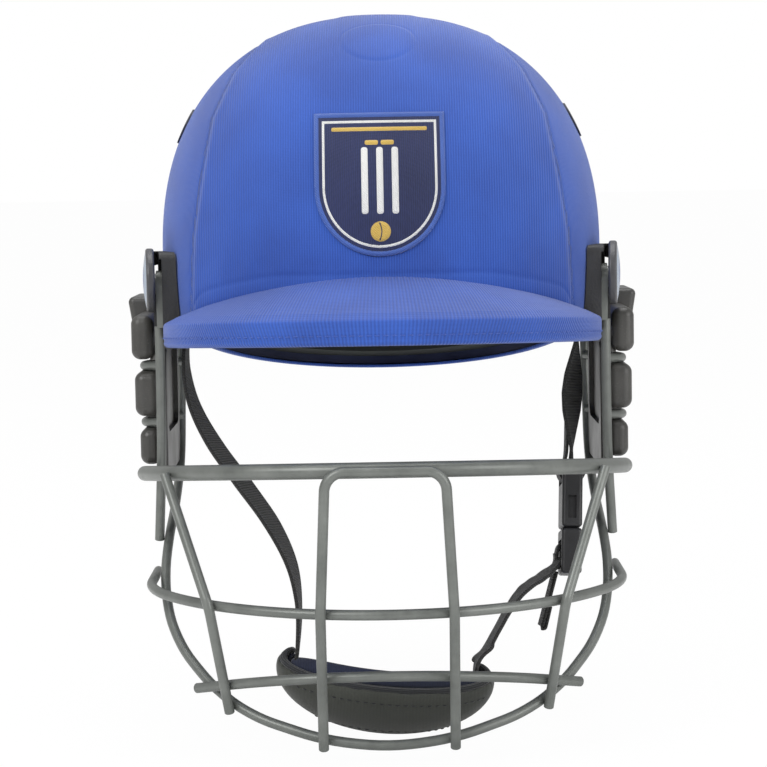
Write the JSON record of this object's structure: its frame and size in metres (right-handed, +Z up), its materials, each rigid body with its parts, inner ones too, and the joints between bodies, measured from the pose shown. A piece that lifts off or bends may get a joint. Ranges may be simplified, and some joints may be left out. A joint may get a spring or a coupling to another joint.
{
  "type": "cricket helmet",
  "caption": "Cloth-covered hard shell helmet with a padded liner, a front peak, a wire face guard hinged at the temples, moulded ear guards and a buckled chin strap with a cup.",
  "frame": {"origin": "the point where the crown pad's underside meets the top of the wearer's head", "axes": "+Z up, -Y to the wearer's front, +X to the wearer's left"},
  "size_m": [0.2308, 0.2904, 0.3102],
  "materials": {
    "shell_plastic": "moulded, satin",
    "vent_plastic": "moulded, matte",
    "cover_cloth": "fine rib knit, royal blue",
    "patch_cloth": "felt shield with stitched motif",
    "liner_foam": "moulded closed-cell foam",
    "pad_cloth": "brushed lining cloth over soft foam",
    "peak_plastic": "moulded, matte",
    "guard_steel": "satin grey powder coat",
    "ear_moulding": "soft moulded, fine speckle",
    "block_plastic": "moulded, ribbed",
    "fixing_steel": "plain steel",
    "cap_plastic": "moulded, satin",
    "label_resin": "domed resin",
    "cup_cloth": "dark olive-grey cloth over a moulded cup",
    "cup_lining": "navy lining cloth over soft foam",
    "webbing": "ribbed flat webbing, black",
    "buckle_plastic": "moulded, satin black"
  },
  "bodies": {
    "helmet": {"outer_shell": "shell_plastic", "crown_plug": "shell_plastic", "crown_cover": "cover_cloth", "front_patch": "patch_cloth", "crown_liner": "liner_foam", "front_liner": "liner_foam", "rear_liner": "liner_foam", "crown_pad": "pad_cloth", "brow_pad": "pad_cloth", "nape_pad": "pad_cloth", "peak": "peak_plastic", "peak_cover": "cover_cloth", "left_vent": "vent_plastic", "right_vent": "vent_plastic", "left_liner": "liner_foam", "right_liner": "liner_foam", "left_pad": "pad_cloth", "right_pad": "pad_cloth", "left_mount_block": "block_plastic", "right_mount_block": "block_plastic", "left_pivot_screw": "fixing_steel", "right_pivot_screw": "fixing_steel", "left_shell_nut": "fixing_steel", "right_shell_nut": "fixing_steel", "left_cap": "cap_plastic", "right_cap": "cap_plastic", "left_cap_label": "label_resin", "right_cap_label": "label_resin", "left_strap_rivet": "fixing_steel", "right_strap_rivet": "fixing_steel"},
    "face_guard": {"top_bar": "guard_steel", "second_bar": "guard_steel", "third_bar": "guard_steel", "jaw_wire": "guard_steel", "centre_hoop": "guard_steel", "left_upright": "guard_steel", "right_upright": "guard_steel", "left_slant_wire": "guard_steel", "right_slant_wire": "guard_steel", "left_upper_rung": "guard_steel", "right_upper_rung": "guard_steel", "left_lower_rung": "guard_steel", "right_lower_rung": "guard_steel", "left_ear_guard": "ear_moulding", "right_ear_guard": "ear_moulding"},
    "chin_strap": {"left_strap": "webbing", "right_strap": "webbing", "buckle_socket": "buckle_plastic", "lower_strap": "webbing"},
    "buckle_insert": {"buckle_insert": "buckle_plastic", "strap_tail": "webbing"},
    "rear_prong": {"rear_prong": "buckle_plastic"},
    "front_prong": {"front_prong": "buckle_plastic"},
    "chin_cup": {"chin_cup": "cup_cloth", "chin_cup_pad": "cup_lining"}
  },
  "joints": [
    {"name": "face_guard_tilt", "type": "hinge", "parent": "helmet", "child": "face_guard", "pos_m": [0, -0.052, -0.094], "axis": [1, 0, 0], "range_deg": [-8, 3]},
    {"name": "chin_strap_swing", "type": "hinge", "parent": "helmet", "child": "chin_strap", "pos_m": [0, -0.03, -0.107], "axis": [1, 0, 0], "range_deg": [-5, 30]},
    {"name": "buckle_release", "type": "slide", "parent": "chin_strap", "child": "buckle_insert", "axis": [-0.0401, -0.218, -0.9751], "range_m": [0, 0.018], "deforming": ["lower_strap"]},
    {"name": "rear_prong_squeeze", "type": "hinge", "parent": "buckle_insert", "child": "rear_prong", "pos_m": [0.08181, -0.03295, -0.20826], "axis": [0.9992, -0.0088, -0.0392], "range_deg": [0, 8]},
    {"name": "front_prong_squeeze", "type": "hinge", "parent": "buckle_insert", "child": "front_prong", "pos_m": [0.08181, -0.04984, -0.20449], "axis": [0.9992, -0.0088, -0.0392], "range_deg": [-8, 0]},
    {"name": "chin_cup_tilt", "type": "hinge", "parent": "chin_strap", "child": "chin_cup", "pos_m": [-0.00035, -0.08474, -0.25284], "axis": [0.9936, 0.0235, -0.1107], "range_deg": [-10, 10]}
  ],
  "couplings": [
    {"joint": "front_prong_squeeze", "follows": "rear_prong_squeeze", "ratio": -1}
  ]
}
